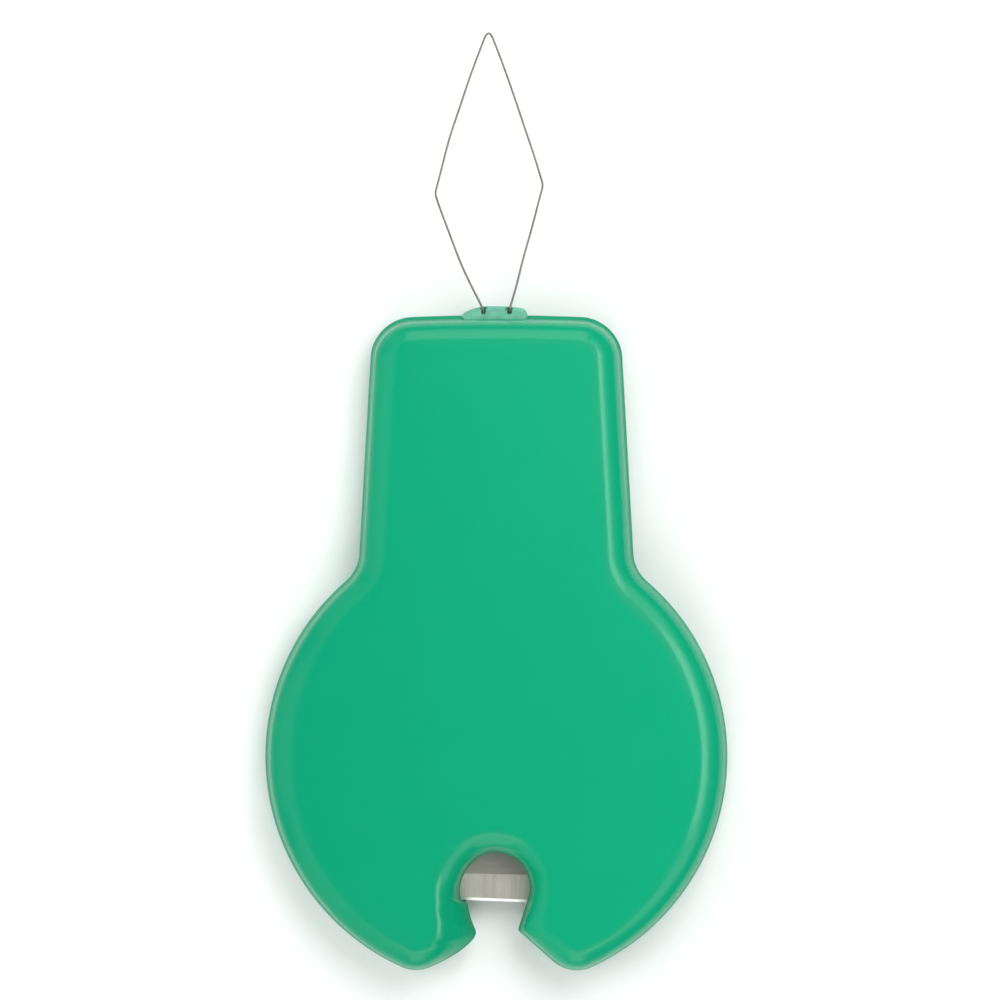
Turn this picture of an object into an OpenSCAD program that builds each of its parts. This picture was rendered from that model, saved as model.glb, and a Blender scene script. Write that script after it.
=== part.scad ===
// Needle threader with a thread cutter.
// A flat plastic body of two clamped shells holds a fine wire loop at its top
// and a small ground blade across the keyhole slot at its bottom.
// It lies on its back: +Z is up through the thickness, +Y points to the wire's tip.
// The origin is at the centre of the round body, on the rear face.

/* [Body outline] */
// Radius of the round body
body_r = 17; // [16:0.25:18]
// Half width of the neck at its top
neck_top_half_w = 9.25; // [8.5:0.25:9.75]
// Height of the neck's top edge above the body centre
neck_top_y = 32.35; // [31.6:0.05:33]
// How far the neck's sides lean out, in degrees
neck_lean = 3.2; // [2:0.2:4]
// Radius of the neck's two top corners
corner_r = 3.2; // [3:0.1:4]
// Radius where the neck flows into the round body
blend_r = 2.9; // [2.5:0.1:5]
// Radius that rounds the two lobes beside the slot
lobe_r = 2.65; // [2.6:0.05:3]
// How far below the horizontal the slot's mouth flares towards the lobes, in degrees
flare_a = 41.5; // [38:0.5:46]

/* [Thickness] */
// Thickness of the rear shell, from the rest face to the parting plane
rear_h = 2.8; // [2.6:0.1:3.2]
// Thickness of the front shell
front_h = 3.2; // [3:0.1:3.6]
// Thickness of the shells' walls
wall = 1.1; // [1:0.05:1.2]
// How far the front shell's edge is set in from the rear shell's
seam_step = 0.1; // [0:0.02:0.14]
// How much further it is set in along the neck's top edge
top_step = 0.2; // [0:0.05:0.3]

/* [Thread slot and blade] */
// Radius of the slot's round inner end
slot_r = 2.7; // [2.6:0.05:2.8]
// Distance of the slot's round end below the body centre
slot_y = 9.65; // [9.5:0.05:9.9]
// Width of the blade from its back to its cutting edge
blade_w = 4.8; // [4.4:0.1:5]
// Thickness of the blade
blade_t = 0.4; // [0.3:0.05:0.5]
// Width of the ground bevel along the cutting edge
bevel_w = 2; // [1.4:0.1:2.2]
// Skew of the cutting edge, in degrees
blade_skew = 1; // [0:0.25:1.5]

/* [Threader wire] */
// Diameter of the threader wire
wire_d = 0.18; // [0.14:0.01:0.22]
// Distance of the wire's tip above the body centre
wire_tip_y = 53.1; // [51:0.1:55]
// Height of the wire diamond's widest place above the body centre
wire_wide_y = 41.7; // [40:0.1:43]
// Half width of the wire diamond at its widest place
wire_half_w = 4; // [3.6:0.1:4.4]

/* [Hidden] */
$fn = 48;
eps = 0.01;

part_z = rear_h;              // height of the parting plane
full_h = rear_h + front_h;

// Points along each stretch of the half outline
n_top = 2;
n_corner = 6;
n_blend = 6;
n_body = 22;
n_lobe = 6;
n_flare = 2;
n_nub = 4;
n_side = 2;
n_hole = 11;

lobe_x = 5.9;                 // centre of the right lobe's rounding
slot_lean = 20;               // how far the slot's sides close towards its mouth
nub_l = 0.25;                 // the mouth corners are rounded from this far off
foot_l = 0.5;                 // and the same for the corner between two rims
face_shift = -0.35;           // the front face's slot edge sits a little off centre
front_rim = 2.25;             // width of the sloped rim round the front face
front_slot_rim = 1.9;         // width of the sloped rim round the front of the slot
top_rim = 1.65;               // the front rim is narrower along the neck's top edge
rear_rim = 1.7;
rear_slot_rim = 1.2;
ceiling_in = 0.2;             // how far the ceiling inside stays within the flat face
crown = 0.12;                 // the neck's top edge is crowned by this much

// Points along an arc, from angle a0 to a1
function arc(c, r, a0, a1, n) =
    [for (i = [0:n - 1]) let (a = a0 + (a1 - a0) * i / (n - 1)) c + r * [cos(a), sin(a)]];

function lerp(a, b, t) = a + (b - a) * t;
function reversed(pts) = [for (i = [len(pts) - 1:-1:0]) pts[i]];

// The neck's side is a straight line that leans out towards the body
function neck_x(y) = neck_top_half_w + (28.5 - y) * tan(neck_lean);

// The concave blend touches the neck's side and the body's arc: its centre by a few steps
function blend_y(x) = sqrt(pow(body_r + blend_r, 2) - x * x);
function blend_x(y) = neck_x(y) + blend_r / cos(neck_lean);
function settle(y, k) = k == 0 ? y : settle(blend_y(blend_x(y)), k - 1);
blend_cy = settle(15, 12);
blend_c = [blend_x(blend_cy), blend_cy];
blend_a = atan2(blend_c[1], blend_c[0]);

corner_cy = neck_top_y - crown - corner_r;
corner_c = [neck_x(corner_cy) - corner_r / cos(neck_lean), corner_cy];

// The lobe's rounding touches the body's arc from inside
lobe_c = [lobe_x, -sqrt(pow(body_r - lobe_r, 2) - lobe_x * lobe_x)];
lobe_a = atan2(lobe_c[1], lobe_c[0]);

// The half outline round to the flare, set in by d, its top edge lowered by drop
function outer_half(d, drop) = concat(
    [for (i = [0:n_top - 1]) let (t = i / n_top)
        [corner_c[0] * t, neck_top_y - crown * t * t - d - drop]],
    arc(corner_c - [0, drop], corner_r - d, 90, neck_lean, n_corner),
    arc(blend_c, blend_r + d, 180 + neck_lean, 180 + blend_a, n_blend),
    arc([0, 0], body_r - d, blend_a - 4, lobe_a, n_body),
    arc(lobe_c, lobe_r - d, lobe_a - 10, -90 - flare_a, n_lobe)
);

// Where the line from p along v crosses the line from q along w
function crossing(p, v, q, w) =
    p + v * ((q[0] - p[0]) * w[1] - (q[1] - p[1]) * w[0]) / (v[0] * w[1] - v[1] * w[0]);

// Points between a and b, without the two ends
function inside(a, b, n) = [for (i = [1:n]) lerp(a, b, i / (n + 1))];

// A half outline: the slot is g wider each side and its straight sides lean in by lean.
// The flare's straight line meets the slot's side in a corner rounded from l off.
function half_outline(d, g, shift, lean, l, drop) = let (
    side_v = [-sin(lean), -cos(lean)],
    side_p = [shift, -slot_y] + (slot_r + g) * [cos(lean), -sin(lean)],
    flare_v = [-cos(flare_a), sin(flare_a)],
    flare_p = lobe_c - (lobe_r - d) * [sin(flare_a), cos(flare_a)],
    k = crossing(flare_p, flare_v, side_p, side_v),
    a = k - flare_v * l,
    b = k - side_v * l
) concat(
    outer_half(d, drop),
    inside(flare_p, a, n_flare),
    [for (i = [0:n_nub - 1]) let (t = i / (n_nub - 1)) lerp(lerp(a, k, t), lerp(k, b, t), t)],
    inside(b, side_p, n_side),
    arc([shift, -slot_y], slot_r + g, -lean, 90, n_hole)
);

half_n = n_top + n_corner + n_blend + n_body + n_lobe + n_flare + n_nub + n_side + n_hole;
ring_n = 2 * half_n - 2;
// Where the cap's cross strips end and its strips beside the slot begin
lobe_end = n_top + n_corner + n_blend + n_body + 2;
split = 2 * lobe_end - half_n + 1;

function ring(right, left) =
    concat(right, [for (i = [half_n - 2:-1:1]) [-left[i][0], left[i][1]]]);
// The outline at the parting plane, and one set in by d whose slot has upright sides
function edge_ring(d, drop) = let (h = half_outline(d, 0, 0, slot_lean, nub_l, drop)) ring(h, h);
function channel_ring(d, g, shift, drop) = ring(
    half_outline(d, g, shift, 0, foot_l, drop),
    half_outline(d, g, -shift, 0, foot_l, drop)
);

function between(a, b, t, z) =
    [for (i = [0:ring_n - 1]) let (p = lerp(a[i], b[i], t)) [p[0], p[1], z]];

// The quads of a cap as pairs of facets, on the ring that starts at point s
function left_of(i) = i == 0 ? 0 : ring_n - i;
function cap(s) = concat(
    [for (i = [0:split - 1]) each [
        [s + i, s + i + 1, s + left_of(i + 1)],
        if (i > 0) [s + i, s + left_of(i + 1), s + left_of(i)]
    ]],
    [[s + split, s + half_n - 1, s + left_of(split)]],
    [for (i = [split:lobe_end - 1]) let (j = half_n - 1 - (i - split)) each [
        [s + i, s + i + 1, s + j],
        if (i < lobe_end - 1) [s + i + 1, s + j - 1, s + j]
    ]],
    [for (i = [split:lobe_end - 1]) let (j = half_n - 1 - (i - split)) each [
        [s + left_of(i + 1), s + left_of(i), s + left_of(j)],
        if (i < lobe_end - 1) [s + left_of(j - 1), s + left_of(i + 1), s + left_of(j)]
    ]]
);
function band(s, t) = [for (i = [0:ring_n - 1]) let (j = (i + 1) % ring_n)
    each [[s + i, t + j, t + i], [s + i, s + j, t + j]]];
function flipped(faces) = [for (f = faces) [f[0], f[2], f[1]]];

// How the rim rises: nearly upright at the parting plane, then over into the flat face.
// Each pair is the share of the rim's width and the share of the shell's height.
rim_steps = 8;
rim_bend = [[0, 0], [0.12, 0.62], [0.42, 1], [1, 1]];
function rim_at(t) = lerp(
    lerp(lerp(rim_bend[0], rim_bend[1], t), lerp(rim_bend[1], rim_bend[2], t), t),
    lerp(lerp(rim_bend[1], rim_bend[2], t), lerp(rim_bend[2], rim_bend[3], t), t),
    t
);

// A shell open at the parting plane: outer rings up to the face, inner rings up to the ceiling
module shell(h, rim_w, slot_w, shift, step, drop) {
    edge = edge_ring(step, drop);
    face = channel_ring(rim_w, slot_w, shift, drop - rim_w + top_rim);
    lip = channel_ring(step + wall, wall, 0, drop);
    ceiling = channel_ring(rim_w + ceiling_in, slot_w + ceiling_in, 0, drop);
    pts = concat(
        [for (k = [0:rim_steps]) let (p = rim_at(k / rim_steps)) each between(edge, face, p[0], p[1] * h)],
        between(lip, ceiling, 0, 0),
        between(lip, ceiling, 0.35, (h - wall) * 0.6),
        between(lip, ceiling, 1, h - wall)
    );
    inner = (rim_steps + 1) * ring_n;
    polyhedron(points = pts, convexity = 8, faces = concat(
        [for (k = [0:rim_steps - 1]) each band(k * ring_n, (k + 1) * ring_n)],
        cap(rim_steps * ring_n),
        flipped(band(inner, inner + ring_n)),
        flipped(band(inner + ring_n, inner + 2 * ring_n)),
        flipped(cap(inner + 2 * ring_n)),
        flipped(band(0, inner))
    ));
}

// Locating pins, and what holds the blade and the wire holder
pins = [[0, 21], [-11, 3], [11, 3], [-8.8, -9.8], [8.8, -9.8]];
pin_r = 0.8;
pin_gap = 0.03;
pin_rise = 1.4;
boss_r = 1.7;

blade_l = 13.2;
blade_back_y = -5.85;
blade_z = part_z - blade_t;
post_x = 5.2;
post_y = -7.45;
post_r = 0.7;
post_gap = 0.05;
seat_w = 2.2;
seat_l = 3.4;
blade_gap = 0.06;

holder_half_w = 2.3;
holder_flange_half_w = 3.4;
holder_back_y = 29.1;
holder_step_y = 30.6;
holder_tip_y = 33;
holder_half_t = 1.05;         // also the radius of its rounded nose
holder_z = part_z - 0.5;      // the holder's mid height, below the wire
holder_gap = 0.05;
// The nose's outline past the neck: its left flank is the longer one
holder_nose = [[2.25, 32.15], [1.95, 32.8], [1.5, 33], [-0.9, 33], [-1.6, 32.85], [-2.25, 32.4]];
clamp_l = 1.2;
wire_z = part_z;
leg_l = 0.95;                 // each leg's distance from the middle inside the holder

module front_shell() {
    color("seagreen") difference() {
        union() {
            translate([0, 0, part_z])
                shell(front_h, front_rim, front_slot_rim, face_shift, seam_step, top_step);
            for (p = pins)
                translate([p[0], p[1], part_z])
                    cylinder(r = boss_r, h = front_h - wall + eps);
            for (s = [-1, 1])
                translate([s * post_x - seat_w / 2, post_y - seat_l / 2, part_z])
                    cube([seat_w, seat_l, front_h - wall + eps]);
            translate([-holder_half_w, holder_back_y + 0.1, holder_z + holder_half_t])
                cube([2 * holder_half_w, clamp_l, full_h - wall - holder_z - holder_half_t + eps]);
        }
        for (p = pins)
            translate([p[0], p[1], part_z - eps])
                cylinder(r = pin_r + pin_gap, h = pin_rise + 0.2);
        holder_notch(part_z - eps, holder_z + holder_half_t + holder_gap);
    }
}

module rear_shell() {
    color("mediumseagreen") difference() {
        union() {
            translate([0, 0, part_z]) mirror([0, 0, 1])
                shell(rear_h, rear_rim, rear_slot_rim, 0, 0, 0);
            for (p = pins) translate([p[0], p[1], wall - eps]) {
                cylinder(r = boss_r, h = rear_h - wall + eps);
                cylinder(r = pin_r, h = rear_h - wall + pin_rise + eps);
            }
            for (s = [-1, 1])
                translate([s * post_x - seat_w / 2, post_y - seat_l / 2, wall - eps])
                    cube([seat_w, seat_l, blade_z - wall + eps]);
            translate([-holder_half_w, holder_back_y + 0.1, wall - eps])
                cube([2 * holder_half_w, clamp_l, holder_z - holder_half_t - wall + eps]);
        }
        translate([0, blade_back_y, blade_z]) rotate([0, 0, -blade_skew])
            translate([-blade_l / 2 - blade_gap, -blade_w - blade_gap, 0])
                cube([blade_l + 2 * blade_gap, blade_w + 2 * blade_gap, blade_t + eps]);
        holder_notch(holder_z - holder_half_t - holder_gap, part_z + eps);
    }
    color("mediumseagreen")
        for (s = [-1, 1])
            translate([s * post_x, post_y, blade_z - 0.2])
                cylinder(r = post_r, h = blade_t + 0.15);
}

// The gap in the neck's top wall that the wire holder sits in, between two heights
module holder_notch(z0, z1) {
    translate([-holder_half_w - holder_gap, holder_step_y, z0])
        cube([2 * (holder_half_w + holder_gap), neck_top_y - holder_step_y + 1, z1 - z0]);
    translate([-holder_flange_half_w - holder_gap, holder_back_y - 0.2, z0])
        cube([2 * (holder_flange_half_w + holder_gap), holder_step_y - holder_back_y + 0.3, z1 - z0]);
}

// A flat steel strip with one ground edge and two holes that drop over the posts
module cutter_blade() {
    edge_t = 0.04;
    color("silver") difference() {
        translate([0, blade_back_y, blade_z]) rotate([0, 0, -blade_skew])
            translate([-blade_l / 2, 0, 0]) rotate([90, 0, 90])
                linear_extrude(blade_l) polygon([
                    [0, 0],
                    [0, blade_t],
                    [-blade_w + bevel_w, blade_t],
                    [-blade_w, edge_t],
                    [-blade_w, 0]
                ]);
        for (s = [-1, 1])
            translate([s * post_x, post_y, blade_z - eps])
                cylinder(r = post_r + post_gap, h = blade_t + 2 * eps);
    }
}

// A small plug, clamped by both shells, that carries the wire's two legs
module wire_holder() {
    leg_r = wire_d / 2 + 0.03;
    nose_y = holder_tip_y - holder_half_t;
    flare_l = 0.55;
    color("darkseagreen") difference() {
        intersection() {
            translate([0, 0, holder_z - holder_half_t]) linear_extrude(2 * holder_half_t)
                polygon(concat(
                    [
                        [holder_half_w, holder_step_y],
                        [holder_flange_half_w, holder_step_y],
                        [holder_flange_half_w, holder_back_y],
                        [-holder_flange_half_w, holder_back_y],
                        [-holder_flange_half_w, holder_step_y],
                        [-holder_half_w, holder_step_y]
                    ],
                    reversed(holder_nose)
                ));
            translate([-5, 0, 0]) rotate([90, 0, 90]) linear_extrude(10) union() {
                translate([nose_y, holder_z]) circle(r = holder_half_t);
                translate([holder_back_y, holder_z - holder_half_t])
                    square([nose_y - holder_back_y, 2 * holder_half_t]);
            }
        }
        for (s = [-1, 1]) translate([s * leg_l, holder_back_y - eps, wire_z]) rotate([-90, 0, 0]) {
            cylinder(r = leg_r, h = holder_tip_y - holder_back_y + 1);
            translate([0, 0, holder_tip_y - holder_back_y - flare_l])
                cylinder(r1 = leg_r, r2 = leg_r + 0.4, h = flare_l + eps);
        }
    }
}

// The wire's route: each bend is a corner point and how far from it the wire starts to turn
hook_l = 0.9;
hook_y = 28.6;
exit_y = 32.75;               // where the legs turn outwards as they leave the holder
wire_bends = [
    [leg_l, hook_y, 0.35],
    [leg_l, exit_y, 0.4],
    [wire_half_w - 0.55, wire_wide_y + 0.2, 0.3],
    [0.9, wire_tip_y - 3.4, 2],
    [-0.58, wire_tip_y + 0.4, 0.95],
    [0.9 - wire_half_w, wire_tip_y - 6.4, 3],
    [-wire_half_w - 0.5, wire_wide_y - 0.4, 0.3],
    [-2.9, wire_wide_y - 5, 2],
    [-leg_l, exit_y, 0.4],
    [-leg_l, hook_y, 0.35]
];
bend_steps = 4;
function bend_at(i) = [wire_bends[i][0], wire_bends[i][1]];
function towards(p, q, l) = p + (q - p) * l / norm(q - p);
wire_start = [leg_l + hook_l, hook_y];
wire_end = [-leg_l - hook_l, hook_y];
wire_route = concat(
    [wire_start],
    [for (i = [0:len(wire_bends) - 1]) let (
        p = bend_at(i),
        l = wire_bends[i][2],
        a = towards(p, i == 0 ? wire_start : bend_at(i - 1), l),
        b = towards(p, i == len(wire_bends) - 1 ? wire_end : bend_at(i + 1), l)
    ) for (k = [0:bend_steps]) let (t = k / bend_steps) lerp(lerp(a, p, t), lerp(p, b, t), t)],
    [wire_end]
);
wire_sides = 8;

// The fine steel wire: a round section swept flat along its route
module threader_wire() {
    n = len(wire_route);
    pts = [for (i = [0:n - 1]) let (
        a = wire_route[max(0, i - 1)],
        b = wire_route[min(n - 1, i + 1)],
        v = (b - a) / norm(b - a),
        side = [v[1], -v[0]]
    ) for (k = [0:wire_sides - 1]) let (t = 360 * (k + 0.5) / wire_sides, r = wire_d / 2)
        [wire_route[i][0] + side[0] * r * cos(t), wire_route[i][1] + side[1] * r * cos(t),
         wire_z + r * sin(t)]];
    color("gainsboro") polyhedron(points = pts, convexity = 6, faces = concat(
        [[for (k = [0:wire_sides - 1]) k]],
        [for (i = [0:n - 2]) for (k = [0:wire_sides - 1]) let (
            a = i * wire_sides + k,
            b = i * wire_sides + (k + 1) % wire_sides
        ) each [[a, a + wire_sides, b + wire_sides], [a, b + wire_sides, b]]],
        [[for (k = [wire_sides - 1:-1:0]) (n - 1) * wire_sides + k]]
    ));
}

front_shell();
rear_shell();
cutter_blade();
threader_wire();
wire_holder();
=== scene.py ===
"""Looks for a needle threader with a thread cutter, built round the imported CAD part.

Everything is shaped in millimetres in the part's own frame and scaled to metres as it becomes
an object: +Z is up through the thickness, +Y points to the wire's tip, and the origin is at the
centre of the round body on its rear face.
"""

import math
import random

import bmesh
import bpy
import numpy as np
from mathutils import Matrix, Vector


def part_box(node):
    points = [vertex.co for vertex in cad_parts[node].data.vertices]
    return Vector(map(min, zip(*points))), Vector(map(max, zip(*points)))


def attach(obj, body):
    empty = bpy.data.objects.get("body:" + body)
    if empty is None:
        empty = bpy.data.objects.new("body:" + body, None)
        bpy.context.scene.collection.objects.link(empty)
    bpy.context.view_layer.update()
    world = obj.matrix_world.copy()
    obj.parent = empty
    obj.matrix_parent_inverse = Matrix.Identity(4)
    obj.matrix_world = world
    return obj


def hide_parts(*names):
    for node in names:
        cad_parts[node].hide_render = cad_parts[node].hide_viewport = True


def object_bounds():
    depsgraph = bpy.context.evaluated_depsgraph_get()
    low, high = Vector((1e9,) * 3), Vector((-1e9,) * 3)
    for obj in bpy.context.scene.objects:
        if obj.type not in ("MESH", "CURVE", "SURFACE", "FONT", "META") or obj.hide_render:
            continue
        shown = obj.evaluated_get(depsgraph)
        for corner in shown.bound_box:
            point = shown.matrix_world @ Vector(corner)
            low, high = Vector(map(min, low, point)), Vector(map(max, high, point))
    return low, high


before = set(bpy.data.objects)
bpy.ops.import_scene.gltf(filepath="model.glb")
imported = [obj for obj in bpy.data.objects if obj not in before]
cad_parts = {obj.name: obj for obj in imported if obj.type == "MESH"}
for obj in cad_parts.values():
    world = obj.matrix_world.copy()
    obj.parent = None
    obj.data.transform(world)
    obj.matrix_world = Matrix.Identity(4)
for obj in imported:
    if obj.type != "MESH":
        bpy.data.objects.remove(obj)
cad_lo, cad_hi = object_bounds()

MM = 0.001


def box_mm(node):
    """The two corners of a CAD node's box."""
    lo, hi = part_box(node)
    return np.array(lo) / MM, np.array(hi) / MM


front_lo, front_hi = box_mm("front_shell")
rear_hi = box_mm("rear_shell")[1]
wire_lo, wire_hi = box_mm("threader_wire")
plug_lo, plug_hi = box_mm("wire_holder")

# ---------------------------------------------------------------- sizes, in mm and degrees
BODY_R = rear_hi[0]
NECK_TOP_Y = rear_hi[1] + 0.12  # at the middle of its top edge, a little past the CAD's
PART_Z = front_lo[2]  # the parting plane between the two shells
FULL_H = front_hi[2]
NECK_HALF_W = 9.33  # the neck's half width at NECK_HALF_Y
NECK_HALF_Y = 28.5
NECK_LEAN = 3.2  # how far its sides lean in towards the top
CORNER_R = 3.2
BLEND_R = 2.9  # between the neck and the round body
CROWN = 0.12  # how much the neck's top edge rises to its middle
LOBE_R = 2.65  # the rounded corners beside the slot's flared mouth
LOBE_X = 5.9
FLARE_A = 41.5  # the slope of the mouth's sides
SLOT_R = 2.7  # the radius of the slot's inner end, whose centre is SLOT_Y below the origin
SLOT_Y = 9.65
SLOT_LEAN = 20.0  # how far the slot's sides lean in towards its mouth
WALL = 1.1
CEILING_IN = 0.2  # how far inside the flat face's outline the hollow ends

PINS = [(0, 21), (-11, 3), (11, 3), (-8.8, -9.8), (8.8, -9.8)]
PIN_R = 0.8
PIN_GAP = 0.03
PIN_RISE = 1.4
PIN_CHAMFER = 0.15
BOSS_R = 1.7
POST_X = 5.2
POST_Y = -7.45
POST_R = 0.7
POST_EASE = 0.1
SEAT_W = 2.2
SEAT_L = 3.4

BLADE_L = 13.2
BLADE_W = 4.8
BLADE_T = 0.4
BLADE_BACK_Y = -5.85
BLADE_SKEW = 1.0
BLADE_GAP = 0.06
BLADE_Z = PART_Z - BLADE_T

HOLDER_W = 2.3  # half widths of the wire holder's plug and of its flange
FLANGE_W = 3.4
HOLDER_LEFT = 0.25  # the plug reaches this much further on its left
HOLDER_BACK_Y = 29.1
HOLDER_STEP_Y = 30.6
HOLDER_TIP_Y = plug_hi[1]
HOLDER_HALF_T = (plug_hi[2] - plug_lo[2]) / 2
HOLDER_Z = (plug_hi[2] + plug_lo[2]) / 2
HOLDER_GAP = 0.05
CLAMP_FROM = 0.1  # the clamp pads run between these distances from the flange's back
CLAMP_TO = 1.3
LEG_X = 0.95
WIRE_Z = PART_Z
WIRE_R = (wire_hi[2] - wire_lo[2]) / 2

ROOF_Z = FULL_H - WALL
FLOOR_Z = WALL
PLUG_TOP = HOLDER_Z + HOLDER_HALF_T
PLUG_LOW = HOLDER_Z - HOLDER_HALF_T
OVERLAP = 0.3  # how far a solid runs into the one that it joins
PAST = 0.5  # how far a cutter reaches past what it cuts

# Points along each stretch of a half outline, from the middle of the neck's top edge round to
# the slot's inner end. A nub is the corner at the slot's mouth, between the flare and the side.
N_TOP = 10
N_CORNER = 18
N_NECK = 12
N_BLEND = 18
N_BODY = 80
N_LOBE = 22
N_FLARE = 14
N_NUB = 12
N_SIDE = 28
N_HOLE = 36
FIRST_LOBE = N_TOP + N_CORNER + N_NECK + N_BLEND + N_BODY
FIRST_NUB = FIRST_LOBE + N_LOBE + N_FLARE
HALF_N = FIRST_NUB + N_NUB + N_SIDE + N_HOLE
RING_N = 2 * HALF_N - 2
# The points where a cap's strips beside the slot end, and where its strips across end
LOBE_END = FIRST_LOBE + 8
SPLIT = 2 * LOBE_END - HALF_N + 1


# ---------------------------------------------------------------- plane geometry
def at(angle):
    """The unit vector at an angle."""
    return np.array([math.cos(math.radians(angle)), math.sin(math.radians(angle))])


def arc(centre, radius, start_a, end_a, n):
    """Points on an arc; the radius may also be one value a point."""
    radii = np.broadcast_to(radius, n)
    middle = np.array(centre, float)
    return [middle + r * at(a) for r, a in zip(radii, np.linspace(start_a, end_a, n))]


def ease(t):
    t = np.clip(t, 0, 1)
    return t * t * (3 - 2 * t)


def inside(a, b, n):
    """n points between a and b, without the two ends."""
    return [a + (b - a) * (i + 1) / (n + 1) for i in range(n)]


def bezier(points, ts):
    """Points on the curve that the control points shape, at each t from 0 to 1."""
    out = []
    for t in ts:
        p = [np.array(q, float) for q in points]
        while len(p) > 1:
            p = [u + (v - u) * t for u, v in zip(p, p[1:])]
        out.append(p[0])
    return out


def rounded_bend(before, corner, after, reach, n):
    """n points round a corner between its two neighbours, starting to turn at reach from it."""
    a = corner + (before - corner) * reach / np.linalg.norm(before - corner)
    b = corner + (after - corner) * reach / np.linalg.norm(after - corner)
    return bezier([a, corner, b], np.linspace(0, 1, n))


def crossing(p, v, q, w):
    """Where the line from p along v meets the line from q along w."""
    return p + v * ((q[0] - p[0]) * w[1] - (q[1] - p[1]) * w[0]) / (v[0] * w[1] - v[1] * w[0])


def neck_x(y):
    return NECK_HALF_W + (NECK_HALF_Y - y) * math.tan(math.radians(NECK_LEAN))


# The blend touches both the neck's side and the body's arc: its centre is found in a few rounds
cos_lean = math.cos(math.radians(NECK_LEAN))
blend_y = 15.0
for _ in range(20):
    blend_y = math.sqrt((BODY_R + BLEND_R) ** 2 - (neck_x(blend_y) + BLEND_R / cos_lean) ** 2)
BLEND_C = np.array([neck_x(blend_y) + BLEND_R / cos_lean, blend_y])
BLEND_A = math.degrees(math.atan2(BLEND_C[1], BLEND_C[0]))
corner_y = NECK_TOP_Y - CROWN - CORNER_R
CORNER_C = np.array([neck_x(corner_y) - CORNER_R / cos_lean, corner_y])
LOBE_C = np.array([LOBE_X, -math.sqrt((BODY_R - LOBE_R) ** 2 - LOBE_X**2)])
LOBE_A = math.degrees(math.atan2(LOBE_C[1], LOBE_C[0]))


def outer_half(inset, drop, lobe_end_a):
    """From the middle of the neck's top edge round to the lobe, set in by inset, with the top
    edge drop lower. inset is one value, or three for the neck, the round body and the lobe."""
    neck_in, body_in, lobe_in = inset if isinstance(inset, tuple) else (inset,) * 3
    body_start_a = BLEND_A - 1.2
    lobe_start_a = LOBE_A - 3
    lobe_share = 0.3  # over this last share of the body's arc, its inset becomes the lobe's
    t = np.arange(N_TOP) / N_TOP
    top = [np.array([CORNER_C[0] * u, NECK_TOP_Y - CROWN * u * u - neck_in - drop]) for u in t]
    corner = arc(CORNER_C - np.array([0, drop]), CORNER_R - neck_in, 90, NECK_LEAN, N_CORNER)
    u = ease(np.linspace(0, 1, N_BLEND))
    blend_r = BLEND_R + neck_in + (body_in - neck_in) * u
    blend = arc(BLEND_C, blend_r, 180 + NECK_LEAN, 180 + BLEND_A, N_BLEND)
    u = ease((np.linspace(0, 1, N_BODY) - (1 - lobe_share)) / lobe_share)
    body = arc((0, 0), BODY_R - body_in - (lobe_in - body_in) * u, body_start_a, LOBE_A, N_BODY)
    lobe = arc(LOBE_C, LOBE_R - lobe_in, lobe_start_a, lobe_end_a, N_LOBE)
    return top + corner + inside(corner[-1], blend[0], N_NECK) + blend + body + lobe


def straight_half(inset, widen, shift, lean, nub_l, drop):
    """A half outline whose slot has straight sides that lean in by lean degrees. The slot is
    widen wider on this side and moved by shift. The nub is rounded from nub_l off its corner,
    or from less where the flare is short."""
    lobe_in = inset[2] if isinstance(inset, tuple) else inset
    slot_c = np.array([shift, -SLOT_Y])
    side_v = -at(90 - lean)
    side_p = slot_c + (SLOT_R + widen) * at(-lean)
    flare_v = at(180 - FLARE_A)
    flare_p = LOBE_C + (LOBE_R - lobe_in) * at(-90 - FLARE_A)
    nub = crossing(flare_p, flare_v, side_p, side_v)
    flare_l = np.linalg.norm(nub - flare_p)
    low = nub - flare_v * min(nub_l, 0.9 * flare_l)
    high = nub - side_v * nub_l
    return (
        outer_half(inset, drop, -90 - FLARE_A)
        + inside(flare_p, low, N_FLARE)
        + bezier([low, nub, high], np.linspace(0, 1, N_NUB))
        + inside(high, side_p, N_SIDE)
        + arc(slot_c, SLOT_R + widen, -lean, 90, N_HOLE)
    )


def hole_quarter(middle_x, half_w, y0, top_y, start_a):
    """The slot's inner end from its side up to its top: a quarter ellipse, slightly flattened."""
    flatter = 1.15
    turns = [at(a) for a in np.linspace(start_a, 90, N_HOLE)]
    return [np.array([middle_x + half_w * abs(c) ** flatter, y0 + (top_y - y0) * s]) for c, s in turns]


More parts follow.
